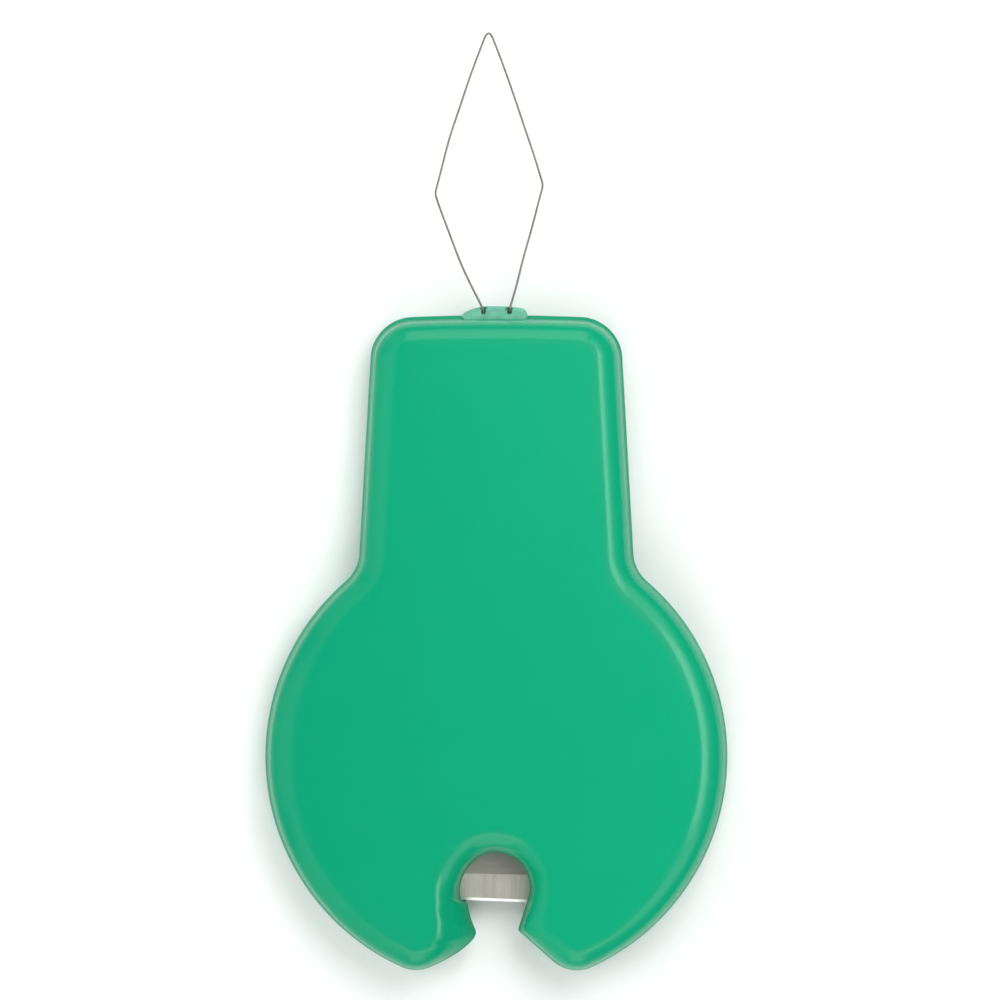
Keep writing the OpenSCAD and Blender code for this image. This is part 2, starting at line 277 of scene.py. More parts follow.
def worn_half(inset, drop, bulge):
    """The left half at the parting plane: its flare is curved, and its nub hangs lower.
    With a bulge the slot's side steps out beside the blade's edge."""
    lobe_end_a = -115
    lobe_end = LOBE_C + (LOBE_R - inset) * at(lobe_end_a)
    low = np.array([1.69, -13.43])
    nub = np.array([1.4, -13.05])
    high = np.array([1.54, -12.7])
    flare = [lobe_end, lobe_end + 1.6 * at(155), low + 1.1 * at(-49), low]
    pts = outer_half(inset, drop, lobe_end_a)
    pts += bezier(flare, (np.arange(N_FLARE) + 1) / (N_FLARE + 1))
    pts += bezier([low, nub, high], np.linspace(0, 1, N_NUB))
    if not bulge:
        half_w = 2.25
        side = [high, (2.2, -11.6), (half_w, -SLOT_Y)]
        pts += bezier(side, (np.arange(N_SIDE) + 1) / (N_SIDE + 1))
        return pts + hole_quarter(0, half_w, -SLOT_Y, -SLOT_Y + SLOT_R, 0)
    n_side = N_SIDE // 2
    n_step = N_SIDE - n_side
    foot = np.array([2.07, -10.9])
    step = [foot, (2.09, -10.6), (2.62, -10.75), (2.66, -10.22)]
    pts += bezier([high, (1.98, -11.75), foot], (np.arange(n_side) + 1) / n_side)
    pts += bezier(step, (np.arange(n_step) + 1) / (n_step + 1))
    return pts + hole_quarter(0.15, 2.52, -9.95, -7.07, -5.5)


def ring(right, left):
    """A closed ring from two halves, both given as on the right; it runs clockwise from above."""
    left = [np.array([-p[0], p[1]]) for p in left[HALF_N - 2 : 0 : -1]]
    return np.array(list(right) + left)


def left_of(i):
    """The place on a ring of the left half's point i."""
    return 0 if i == 0 else RING_N - i


def inward(points):
    """The normals of a clockwise ring, pointing into it."""
    t = np.roll(points, -1, 0) - np.roll(points, 1, 0)
    return np.stack([t[:, 1], -t[:, 0]], 1) / np.linalg.norm(t, axis=1)[:, None]


def set_in(points, amount):
    """A closed ring moved inwards along its own normals, by one amount or one a point."""
    return points + inward(points) * np.reshape(np.broadcast_to(amount, len(points)), (-1, 1))


# ---------------------------------------------------------------- meshes
def raised(points, z):
    return np.column_stack([points, np.full(len(points), z)])


def mesh_object(name, verts, faces):
    me = bpy.data.meshes.new(name)
    me.from_pydata([tuple(v) for v in verts], [], [tuple(int(i) for i in f) for f in faces])
    bm = bmesh.new()
    bm.from_mesh(me)
    bmesh.ops.recalc_face_normals(bm, faces=bm.faces)
    bm.to_mesh(me)
    bm.free()
    ob = bpy.data.objects.new(name, me)
    bpy.context.scene.collection.objects.link(ob)
    return ob


def join(name, parts):
    """One mesh object from several lists of vertices and faces."""
    verts, faces = [], []
    for v, f in parts:
        faces += [[i + len(verts) for i in g] for g in f]
        verts += [tuple(p) for p in v]
    return mesh_object(name, verts, faces)


def quads_round(n_rows, n_round):
    """The faces between closed rows of points that follow one another."""
    faces = []
    for i in range(n_rows - 1):
        row = i * n_round
        above = row + n_round
        for k in range(n_round):
            j = (k + 1) % n_round
            faces.append([row + k, row + j, above + j, above + k])
    return faces


def closed_skin(n_rows, n_round):
    """The faces of quads_round, with one more over each end."""
    last = (n_rows - 1) * n_round
    ends = [list(range(n_round)), [last + k for k in range(n_round)]]
    return quads_round(n_rows, n_round) + ends


def lathe(profile, x, y, n=64):
    """A closed solid of revolution about a vertical line, from pairs of radius and height."""
    verts, rows = [], []
    for r, z in profile:
        if r == 0:
            rows.append([len(verts)] * n)
            verts.append((x, y, z))
            continue
        rows.append([len(verts) + i for i in range(n)])
        for i in range(n):
            turn = 2 * math.pi * i / n
            verts.append((x + r * math.cos(turn), y + r * math.sin(turn), z))
    faces = []
    for a, b in zip(rows, rows[1:]):
        for i in range(n):
            j = (i + 1) % n
            f = list(dict.fromkeys([a[i], a[j], b[j], b[i]]))
            if len(f) > 2:
                faces.append(f)
    return verts, faces


def block(x0, x1, y0, y1, z0, z1, turn=0.0, about=(0.0, 0.0)):
    """A box, turned by some degrees about a point in the plane."""
    c, s = at(turn)
    verts = []
    for z in (z0, z1):
        for x, y in ((x0, y0), (x1, y0), (x1, y1), (x0, y1)):
            u, v = x - about[0], y - about[1]
            verts.append((about[0] + c * u - s * v, about[1] + s * u + c * v, z))
    faces = [[3, 2, 1, 0], [4, 5, 6, 7]]
    faces += [[i, (i + 1) % 4, 4 + (i + 1) % 4, 4 + i] for i in range(4)]
    return verts, faces


def combine(ob, other, how):
    mod = ob.modifiers.new("join", "BOOLEAN")
    mod.operation = how
    mod.solver = "EXACT"
    mod.object = other
    bpy.context.view_layer.update()
    me = bpy.data.meshes.new_from_object(ob.evaluated_get(bpy.context.evaluated_depsgraph_get()))
    ob.modifiers.clear()
    ob.data = me
    bpy.data.objects.remove(other)


def add(ob, parts):
    combine(ob, join("add", parts), "UNION")


def cut(ob, parts):
    combine(ob, join("cut", parts), "DIFFERENCE")


def finish_piece(ob, node, slot, *materials, sharp=38):
    """Cleans the mesh, marks its edges sharper than an angle, scales it to metres and hands it on."""
    weld = 0.0005
    bm = bmesh.new()
    bm.from_mesh(ob.data)
    bmesh.ops.remove_doubles(bm, verts=bm.verts, dist=weld)
    bmesh.ops.dissolve_degenerate(bm, edges=bm.edges, dist=weld)
    for f in bm.faces:
        f.smooth = True
    for e in bm.edges:
        e.smooth = e.is_manifold and e.calc_face_angle(0) < math.radians(sharp)
    loose = sum(1 for e in bm.edges if not e.is_manifold)
    print(ob.name, len(bm.faces), "faces", loose, "open edges")
    bm.to_mesh(ob.data)
    bm.free()
    ob.data.transform(Matrix.Scale(MM, 4))
    kinds = [p.material_index for p in ob.data.polygons]
    ob.data.materials.clear()
    for m in materials:
        ob.data.materials.append(m)
    ob.data.polygons.foreach_set("material_index", kinds)
    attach(ob, "root")
    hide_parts(node)


# ---------------------------------------------------------------- the shells' skin
def cap(s):
    """The faces that close a ring starting at vertex s: strips across, then beside the slot."""
    faces = [[s + i, s + i + 1, s + left_of(i + 1), s + left_of(i)] for i in range(1, SPLIT)]
    faces.append([s, s + 1, s + left_of(1)])
    faces.append([s + SPLIT, s + HALF_N - 1, s + left_of(SPLIT)])
    for i in range(SPLIT, LOBE_END):
        j = HALF_N - 1 - (i - SPLIT)
        if i < LOBE_END - 1:
            faces.append([s + i, s + i + 1, s + j - 1, s + j])
            faces.append([s + left_of(i + 1), s + left_of(i), s + left_of(j), s + left_of(j - 1)])
        else:
            faces.append([s + i, s + i + 1, s + j])
            faces.append([s + left_of(i + 1), s + left_of(i), s + left_of(j)])
    return faces


def band(s, t):
    """The faces between two rings that start at vertices s and t."""
    return [[s + i, s + (i + 1) % RING_N, t + (i + 1) % RING_N, t + i] for i in range(RING_N)]


# How a rim rises, as curves through pairs of distance in from the edge and height, in mm, each
# with its number of points. The whole is stretched to each rim's own width and height.
RIGHT_PROFILE = [
    ([(0, 0), (0.12, 0.65), (0.17, 1.35), (0.25, 1.71)], 24),
    ([(0.25, 1.71), (0.375, 2.2), (0.62, 2.49)], 12),
    ([(0.62, 2.49), (0.923, 2.793), (1.52, 3.05)], 14),
    ([(1.52, 3.05), (1.87, 3.2), (2.3, 3.2)], 14),
]
LEFT_PROFILE = [
    ([(0, 0), (0.15, 0.8), (0.24, 1.78), (0.42, 2.15)], 26),
    ([(0.42, 2.15), (0.52, 2.35), (1.3, 3.2), (2.3, 3.2)], 40),
]
FLANK_PROFILE = [
    ([(0, 0), (0.12, 0.9), (0.3, 1.35), (0.6, 1.75)], 26),
    ([(0.6, 1.75), (1.5, 2.95), (1.75, 3.2), (2.3, 3.2)], 40),
]
REAR_PROFILE = [([(0, 0), (0.2, 1.74), (0.71, 2.8), (1.7, 2.8)], 34)]


def profile_points(curves):
    """Shares of the rim's width and of the shell's height along a profile."""
    pts = [np.zeros(2)]
    for points, n in curves:
        pts += bezier(points, np.linspace(0, 1, n + 1)[1:])
    pts = np.array(pts)
    return pts / pts[-1]


def left_weight(edge):
    """How far the rim faces -X at each point of a ring, from 0 to 1."""
    start = 0.15
    width = 0.6
    return ease((inward(edge)[:, 0] - start) / width)


def flank_weight():
    """How far each point of a ring belongs to the slot's left flank, from 0 to 1."""
    past_side = 12
    fade_n = N_SIDE + 10
    fade_end = FIRST_NUB + N_NUB + N_SIDE + past_side
    on_left = RING_N - np.arange(RING_N)
    return ease((on_left - FIRST_NUB + N_FLARE) / N_FLARE) * ease((fade_end - on_left) / fade_n)


def shell(name, sign, h, profiles, edge, face, lip, ceiling, lip_inset, lip_h, bevelled=0.0):
    """A hollow shell of height h that is open at the parting plane, with sign 1 above it and -1
    below. Its rim rises from the ring edge to the ring face, and its hollow goes from the ring
    lip at the parting plane to the ring ceiling. Rims that face -X take the second profile, and
    the slot's left flank takes the third. The outer edge at the parting plane is eased by
    lip_inset over lip_h: rounded, or nearer flat where bevelled."""
    n_low = 8
    least_rise = 0.004
    knee_in = 0.35  # the inner wall bends once, here between the lip and the ceiling
    knee_up = 0.6
    kinds = [profile_points(p) for p in profiles]
    main_heights = kinds[0][:, 1]
    turned = left_weight(edge)
    flank = flank_weight()
    low = np.linspace(0, lip_h / h, n_low)
    heights = np.concatenate([low, main_heights[main_heights > lip_h / h + least_rise]])
    rings = []
    for height in heights:
        one, two, three = (np.interp(height, p[:, 1], p[:, 0]) for p in kinds)
        share = (one + (two - one) * turned + (three - one) * flank)[:, None]
        u = max(0.0, 1 - height * h / lip_h)
        rounded = 1 - math.sqrt(max(0.0, 1 - u * u))
        extra = lip_inset * (rounded + (u**1.5 - rounded) * bevelled)
        rings.append(raised(set_in(edge + (face - edge) * share, extra), PART_Z + sign * height * h))
    n_outer = len(rings)
    rings.append(raised(lip, PART_Z))
    rings.append(raised(lip + (ceiling - lip) * knee_in, PART_Z + sign * (h - WALL) * knee_up))
    rings.append(raised(ceiling, PART_Z + sign * (h - WALL)))
    faces = cap((n_outer - 1) * RING_N) + cap((n_outer + 2) * RING_N)
    for k in range(n_outer - 1):
        faces += band(k * RING_N, (k + 1) * RING_N)
    for k in range(n_outer, n_outer + 2):
        faces += band(k * RING_N, (k + 1) * RING_N)
    faces += band(0, n_outer * RING_N)
    return mesh_object(name, np.concatenate(rings), faces)


def inner_rings(rim, slot_rim, shift, face_drop):
    """The rings of the flat face, of the inner lip at the parting plane and of the ceiling.
    rim is how wide the rim is at the neck, the round body and the lobes."""
    face_nub_l = 1.8
    inner_nub_l = 0.5
    lip_in = 0.3 + WALL
    face = ring(
        straight_half(rim, slot_rim, shift, 0, face_nub_l, face_drop),
        straight_half(rim, slot_rim, -shift, 0, face_nub_l, face_drop),
    )
    lip_half = straight_half(lip_in, WALL, 0, 0, inner_nub_l, 0)
    above = tuple(r + CEILING_IN for r in rim)
    top_half = straight_half(above, slot_rim + CEILING_IN, 0, 0, inner_nub_l, 0)
    return face, ring(lip_half, lip_half), ring(top_half, top_half)


# ---------------------------------------------------------------- materials
class Maker:
    """A short way to build a node material."""

    def __init__(self, name):
        self.mat = bpy.data.materials.new(name)
        self.mat.use_nodes = True
        self.tree = self.mat.node_tree
        self.bsdf = self.tree.nodes["Principled BSDF"]
        self.coords = self.tree.nodes.new("ShaderNodeTexCoord").outputs["Object"]

    def feed(self, socket, value):
        """Links another node's output to an input, or sets the input's own value."""
        if isinstance(value, bpy.types.NodeSocket):
            self.tree.links.new(value, socket)
        else:
            socket.default_value = value

    def node(self, kind, inputs=None, **props):
        n = self.tree.nodes.new(kind)
        for k, v in props.items():
            setattr(n, k, v)
        for k, v in (inputs or {}).items():
            self.feed(n.inputs[k], v)
        return n

    def noise(self, scale, detail=3.0, stretch=(1, 1, 1), rough=0.5):
        place = self.node("ShaderNodeMapping", {"Vector": self.coords, "Scale": stretch}).outputs[0]
        given = {"Vector": place, "Scale": scale, "Detail": detail, "Roughness": rough}
        return self.node("ShaderNodeTexNoise", given).outputs["Fac"]

    def range(self, value, lo, hi, from_lo=0.3, from_hi=0.7):
        given = {"Value": value, "From Min": from_lo, "From Max": from_hi, "To Min": lo, "To Max": hi}
        return self.node("ShaderNodeMapRange", given).outputs[0]

    def math(self, op, a, b=0.0):
        return self.node("ShaderNodeMath", {0: a, 1: b}, operation=op).outputs[0]

    def mix(self, fac, a, b):
        # A colour mix has its factor at input 0 and its two colours at 6 and 7
        return self.node("ShaderNodeMix", {0: fac, 6: a, 7: b}, data_type="RGBA").outputs[2]

    def bump(self, height, distance, under=None):
        given = {"Height": height, "Distance": distance, "Strength": 1.0}
        if under is not None:
            given["Normal"] = under
        return self.node("ShaderNodeBump", given).outputs[0]

    def set(self, **values):
        for k, v in values.items():
            self.feed(self.bsdf.inputs[k.replace("_", " ")], v)


def scaled_colour(colour, k):
    return tuple(c * k for c in colour[:3]) + (1,)


def moulded_plastic(name, base, pale, rough, grain=1.0, lower_left_painted_shade=0.0, blotchy=0.0):
    """Glossy moulded plastic: faint flow marks, a fine surface grain, hairline scuffs and dust.
    It is duller next to the parting plane. With lower_left_painted_shade, the colour is painted that much
    darker towards the lower left, as painted shade where less light falls on the face. With blotchy, it has
    small deeper patches."""
    m = Maker(name)
    flow = m.noise(70, 4, stretch=(1, 0.35, 1))
    cloud = m.noise(240, 2)
    shade = m.math("ADD", m.range(flow, 0.0, 0.6), m.range(cloud, 0.0, 0.4))
    colour = m.mix(shade, scaled_colour(base, 0.965), base)
    place = m.node("ShaderNodeSeparateXYZ", {0: m.coords}).outputs
    # Painted shade: the colour is mixed towards black towards the lower left, for the light that falls off
    # there.
    if lower_left_painted_shade:
        lean = m.math("ADD", place[0], m.math("MULTIPLY", place[1], 0.15))
        painted_shade_fac = m.range(lean, lower_left_painted_shade, 0, -13 * MM, 11 * MM)
        colour = m.mix(painted_shade_fac, colour, (0, 0, 0, 1))
    if blotchy:
        patches = m.range(m.noise(1500, 3), blotchy, 0, 0.36, 0.56)
        colour = m.mix(patches, colour, scaled_colour(base, 0.55))
    dust = m.range(m.noise(9000, 2), 0, 0.12, 0.74, 0.84)
    colour = m.mix(dust, colour, pale)
    scuffs = m.range(m.noise(900, 2, stretch=(1, 0.06, 1), rough=0.6), 0, 1, 0.7, 0.76)
    uneven = m.range(m.noise(420, 4), rough - 0.015, rough + 0.02)
    gloss = m.math("ADD", uneven, m.math("MULTIPLY", scuffs, 0.03))
    from_parting = m.math("ABSOLUTE", m.math("SUBTRACT", place[2], PART_Z * MM))
    gloss = m.math("ADD", gloss, m.range(from_parting, 0.5, 0, 0.6 * MM, 2 * MM))
    peel = m.bump(m.noise(1500, 2), 0.0000025 * grain)
    surface = m.bump(m.noise(11000, 2), 0.0000011 * grain, under=peel)
    m.set(Base_Color=colour, Roughness=gloss, Normal=surface, IOR=1.46)
    return m


def steel(name, light, dark, rough, grind, across, depth, metal):
    """Ground steel: streaks along one direction, with light staining. across stretches the streaks."""
    m = Maker(name)
    streak = m.noise(grind, 4, across, 0.7)
    stain = m.noise(500, 3)
    tone = m.math("ADD", m.range(streak, 0, 0.7), m.range(stain, 0, 0.3))
    m.set(
        Base_Color=m.mix(tone, dark, light),
        Metallic=metal,
        Roughness=m.range(streak, rough + 0.08, rough - 0.05),
        Normal=m.bump(streak, depth),
    )
    return m


pale_green = (0.03, 0.4, 0.24, 1)
# The front shell's face gets painted shade towards the lower left.
front_plastic = moulded_plastic(
    "front_plastic", (0.0025, 0.352, 0.174, 1), pale_green, rough=0.2, lower_left_painted_shade=0.11
)
front_plastic.set(Specular_IOR_Level=0.38)
# Painted shade: the same green plastic as the front, painted a little darker, which dims its green light
# bounced onto the floor.
rear_plastic_shaded = moulded_plastic("rear_plastic_shaded", (0.0025, 0.31, 0.16, 1), pale_green, rough=0.3)
rear_plastic_shaded.set(Specular_IOR_Level=0.3)
plug_plastic = moulded_plastic(
    "plug_plastic", (0.15, 0.48, 0.35, 1), (0.3, 0.55, 0.45, 1), rough=0.33, grain=1.6, blotchy=0.4
)
plug_plastic.set(Subsurface_Weight=0.35, Subsurface_Radius=(0.3, 1.0, 0.7), Subsurface_Scale=0.6 * MM)
# Painted shade: a darker copy of the plug's green, for the shadowed pits round the legs.
pit_painted_shade = moulded_plastic(
    "pit_painted_shade", (0.03, 0.2, 0.12, 1), (0.1, 0.3, 0.2, 1), rough=0.3, grain=1.6
)

blade_flat = steel(
    "blade_flat",
    light=(0.43, 0.395, 0.35, 1),
    dark=(0.34, 0.31, 0.275, 1),
    rough=0.5,
    grind=2500,
    across=(0.08, 1, 1),
    depth=2e-6,
    metal=0.6,
)
# The ground bevel is lighter than the flat: partly its own ground finish, partly painted sheen for the light
# that its tilt catches.
blade_bevel_ground_sheen = steel(
    "blade_bevel_ground_sheen",
    light=(0.75, 0.71, 0.635, 1),
    dark=(0.47, 0.44, 0.385, 1),
    rough=0.42,
    grind=3300,
    across=(1, 0.06, 0.06),
    depth=3e-6,
    metal=0.55,
)
# Painted highlight: the fine edge bevel is near white, for the bright line of light along the blade's edge.
blade_edge_highlight = steel(
    "blade_edge_highlight",
    light=(1, 1, 0.97, 1),
    dark=(0.93, 0.92, 0.88, 1),
    rough=0.35,
    grind=5000,
    across=(1, 0.1, 0.1),
    depth=1e-6,
    metal=0.5,
)
wire_steel = steel(
    "wire_steel",
    light=(0.43, 0.41, 0.37, 1),
    dark=(0.28, 0.265, 0.235, 1),
    rough=0.4,
    grind=3000,
    across=(1, 1, 1),
    depth=1e-6,
    metal=0.8,
)


# ---------------------------------------------------------------- the two shells
def notch(z0, z1):
    """The gap in the neck's top wall that the wire holder sits in, between two heights."""
    plug_w = HOLDER_W + 0.005
    plug_y0 = HOLDER_STEP_Y + HOLDER_GAP
    plug_y1 = NECK_TOP_Y + 1
    flange_w = FLANGE_W + HOLDER_GAP
    flange_y0 = HOLDER_BACK_Y - 0.2
    flange_y1 = HOLDER_STEP_Y + 0.1
    return [
        block(-plug_w - HOLDER_LEFT, plug_w, plug_y0, plug_y1, z0, z1),
        block(-flange_w, flange_w, flange_y0, flange_y1, z0, z1),
    ]


def seats(z0, z1):
    """The two pads that hold the blade, one at each post."""
    y0 = POST_Y - SEAT_L / 2
    y1 = POST_Y + SEAT_L / 2
    return [block(x - SEAT_W / 2, x + SEAT_W / 2, y0, y1, z0, z1) for x in (-POST_X, POST_X)]


def clamp(z0, z1):
    """The pad that presses on the wire holder."""
    return block(-HOLDER_W, HOLDER_W, HOLDER_BACK_Y + CLAMP_FROM, HOLDER_BACK_Y + CLAMP_TO, z0, z1)


def build_front_shell():
    """Its outer edge is set back from the rear shell's by 0.3 at the neck's top, by 0.1 on the
    neck's right and hardly elsewhere. Its slot is narrower on the right and wider on the left.
    Its rim is widest round the body, and narrowest at the lobes and round the slot."""
    rim = (2.5, 2.65, 1.95)
    top_rim = 2.28
    right = straight_half(inset=(0.1, 0.03, 0), widen=-0.12, shift=-0.15, lean=18, nub_l=0.2, drop=0.2)
    left = worn_half(inset=0.02, drop=0.28, bulge=True)
    rings = inner_rings(rim, slot_rim=1.9, shift=-0.35, face_drop=top_rim - rim[0])
    profiles = (RIGHT_PROFILE, LEFT_PROFILE, FLANK_PROFILE)
    height = FULL_H - PART_Z
    edge = ring(right, left)
    front = shell("front_shell_looks", 1, height, profiles, edge, *rings, lip_inset=0.05, lip_h=0.08)

    top = ROOF_Z + OVERLAP
    boss = [(0, PART_Z), (BOSS_R, PART_Z), (BOSS_R, top), (0, top)]
    add(front, [lathe(boss, *p) for p in PINS] + seats(PART_Z, top) + [clamp(PLUG_TOP, top)])

    bore_r = PIN_R + PIN_GAP
    bore_top = PART_Z + PIN_RISE + 0.2
    bore = [
        (0, PART_Z - PAST),
        (bore_r + PIN_CHAMFER, PART_Z - PAST),
        (bore_r + PIN_CHAMFER, PART_Z),
        (bore_r, PART_Z + PIN_CHAMFER),
        (bore_r, bore_top),
        (0, bore_top + 0.2),
    ]
    cut(front, [lathe(bore, *p) for p in PINS])
    for part in notch(PART_Z - PAST, PLUG_TOP + HOLDER_GAP):
        cut(front, [part])
    finish_piece(front, "front_shell", "front_shell", front_plastic.mat)


def build_rear_shell():
    """Its edge is bevelled at the neck's top and rounded elsewhere. It has the pins, the blade's
    seats and posts, and the lower half of the wire holder's notch."""
    right = straight_half(inset=0, widen=0, shift=0, lean=SLOT_LEAN, nub_l=0.25, drop=0)
    left = worn_half(inset=0, drop=0, bulge=False)
    edge = ring(right, left)
    rings = inner_rings((1.7, 1.7, 1.7), slot_rim=1.2, shift=0, face_drop=0)
    below_top = 2.5  # the edge changes from this far below the neck's top, over the next change_l
    change_l = 2
    at_top = ease((edge[:, 1] - NECK_TOP_Y + below_top) / change_l)
    rear = shell(
        "rear_shell_looks",
        -1,
        PART_Z,
        [REAR_PROFILE] * 3,
        edge,
        *rings,
        lip_inset=0.1 + 0.2 * at_top,
        lip_h=0.5,
        bevelled=at_top,
    )

    low = FLOOR_Z - OVERLAP
    pin_top = PART_Z + PIN_RISE
    pin = [
        (0, low),
        (BOSS_R, low),
        (BOSS_R, PART_Z),
        (PIN_R, PART_Z),
        (PIN_R, pin_top - PIN_CHAMFER),
        (PIN_R - PIN_CHAMFER, pin_top),
        (0, pin_top),
    ]
    add(rear, [lathe(pin, *p) for p in PINS] + seats(low, BLADE_Z) + [clamp(low, PLUG_LOW)])

    half_l = BLADE_L / 2 + BLADE_GAP
    y0 = BLADE_BACK_Y - BLADE_W - BLADE_GAP
    y1 = BLADE_BACK_Y + BLADE_GAP
    slit = block(-half_l, half_l, y0, y1, BLADE_Z, PART_Z + PAST, -BLADE_SKEW, (0, BLADE_BACK_Y))
    cut(rear, [slit])
    # A hollow in the slot's left side, where the blade's edge goes into it
    hollow = block(x0=-3.2, x1=-2.0, y0=-11.0, y1=-10.4, z0=BLADE_Z - 0.35, z1=PART_Z + PAST)
    cut(rear, [hollow])

    foot = BLADE_Z - 0.2
    top = BLADE_Z + BLADE_T - 0.05
    post = [(0, foot), (POST_R, foot), (POST_R, top - POST_EASE), (POST_R - POST_EASE, top), (0, top)]
    add(rear, [lathe(post, x, POST_Y) for x in (-POST_X, POST_X)])
    for part in notch(PLUG_LOW - HOLDER_GAP, PART_Z + PAST):
        cut(rear, [part])
    finish_piece(rear, "rear_shell", "rear_shell", rear_plastic_shaded.mat)


build_front_shell()
build_rear_shell()

# ---------------------------------------------------------------- the blade
BEVEL_W = 2.0  # the width of the ground bevel
MICRO_W = 0.2  # the width of the fine second bevel at the edge
EDGE_T = 0.06
BLADE_EASE = 0.05  # how far its blunt corners are broken
POST_GAP = 0.05
# The strip's section, as pairs of y from its back and height
SECTION = [
    (-BLADE_EASE, 0.0),
    (0.0, BLADE_EASE),
    (0.0, BLADE_T - BLADE_EASE),
    (-BLADE_EASE, BLADE_T),
    (-1.4, BLADE_T),
    (-BLADE_W + BEVEL_W, BLADE_T),
    (-BLADE_W + BEVEL_W - 0.9, 0.275),
    (-BLADE_W + MICRO_W, 0.15),
    (-BLADE_W, EDGE_T),
    (-BLADE_W + 0.02, 0.0),
    (-2.4, 0.0),
]
# Places in the section: where each bevel starts, and the corners of the edge
BEVEL_TOP = 5
MICRO_TOP = 7
EDGE_CORNERS = (8, 9)


def blade_points(n_along):
    """The section repeated along the strip. Its edge is slightly nicked and slants across the
    slot, and the lines where its bevels start wander."""
    rng = random.Random(41)
    verts = []
    for i in range(n_along + 1):
        u = i / n_along
        x = (u - 0.5) * BLADE_L
        end = BLADE_EASE if i in (0, n_along) else 0.0
        nick = rng.uniform(-0.006, 0.006) + (0.014 if rng.random() < 0.03 else 0)
        wander = 0.012 * math.sin(5.1 * u + 0.6) + rng.uniform(-0.004, 0.004)
        slant = -0.02 * min(max(x, -3.0), 3.0)
        moves = {BEVEL_TOP: wander, MICRO_TOP: wander + slant}
        moves.update({k: nick + slant for k in EDGE_CORNERS})
        for k, (y, z) in enumerate(SECTION):
            y += moves.get(k, 0)
            if end:
                y = min(max(y, -BLADE_W + end), -end)
            squeeze = end if z > BLADE_T / 2 else -end
            verts.append((x, y, min(max(z - squeeze, 0.0), BLADE_T)))
    return verts


def build_blade():
    n_along = 110
    n_section = len(SECTION)
    faces = quads_round(n_along + 1, n_section)
    faces.append(list(range(n_section)))
    faces.append([n_along * n_section + k for k in range(n_section - 1, -1, -1)])
    flat, bevel, micro = 0, 1, 2  # places in the list of materials
    section_kinds = [flat] * n_section
    section_kinds[BEVEL_TOP:MICRO_TOP] = [bevel] * (MICRO_TOP - BEVEL_TOP)
    # The fine edge bevel takes the painted highlight, and the ground bevel the lighter, partly painted
    # sheen.
    section_kinds[MICRO_TOP] = micro
    c, s = at(-BLADE_SKEW)
    verts = [(c * x - s * y, BLADE_BACK_Y + s * x + c * y, BLADE_Z + z) for x, y, z in blade_points(n_along)]
    blade = mesh_object("cutter_blade_looks", verts, faces)
    metals = (blade_flat.mat, blade_bevel_ground_sheen.mat, blade_edge_highlight.mat)
    for _ in metals:
        blade.data.materials.append(None)
    blade.data.polygons.foreach_set("material_index", section_kinds * n_along + [flat, flat])

    hole_r = POST_R + POST_GAP
    top = BLADE_Z + BLADE_T
    hole = [
        (0, BLADE_Z - OVERLAP),
        (hole_r, BLADE_Z - OVERLAP),
        (hole_r, top - BLADE_EASE),
        (hole_r + BLADE_EASE, top),
        (hole_r + BLADE_EASE, top + OVERLAP),
        (0, top + OVERLAP),
    ]
    cut(blade, [lathe(hole, x, POST_Y) for x in (-POST_X, POST_X)])
    finish_piece(blade, "cutter_blade", "cutter_blade", *metals, sharp=5)


build_blade()

# ---------------------------------------------------------------- the wire
TIP_Y = wire_hi[1] - 0.04
WIDE_Y = 41.7  # near the diamond's two side corners
HOOK_Y = 28.6  # where each leg ends in a hook that is HOOK_L long
HOOK_L = 0.9
EXIT_Y = 32.75  # where the legs leave the holder
# Each bend is a corner, and how far from it the wire starts to turn
BENDS = [
    ((LEG_X, HOOK_Y), 0.35),
    ((LEG_X, EXIT_Y), 0.4),
    ((3.45, WIDE_Y + 0.2), 0.3),
    ((0.9, TIP_Y - 3.4), 2),
    ((-0.58, TIP_Y + 0.4), 0.95),
    ((-3.1, TIP_Y - 6.4), 3),
    ((-4.5, WIDE_Y - 0.4), 0.3),
    ((-2.9, WIDE_Y - 5), 2),
    ((-LEG_X, EXIT_Y), 0.4),
    ((-LEG_X, HOOK_Y), 0.35),
]


def wire_line(step):
    """The centre line in the plane from hook to hook, in even steps, and the length up to each."""
    n_bend = 17
    corners = [np.array(corner) for corner, _ in BENDS]
    start = corners[0] + np.array([HOOK_L, 0])
    stop = corners[-1] - np.array([HOOK_L, 0])
    chain = [start] + corners + [stop]
    route = [start]
    for (_, reach), before, corner, after in zip(BENDS, chain, chain[1:], chain[2:]):
        route += rounded_bend(before, corner, after, reach, n_bend)
    route = np.array(route + [stop])
    length = np.concatenate([[0], np.cumsum(np.linalg.norm(np.diff(route, axis=0), axis=1))])
    s = np.linspace(0, length[-1], int(length[-1] / step))
    return np.column_stack([np.interp(s, length, route[:, 0]), np.interp(s, length, route[:, 1])]), s


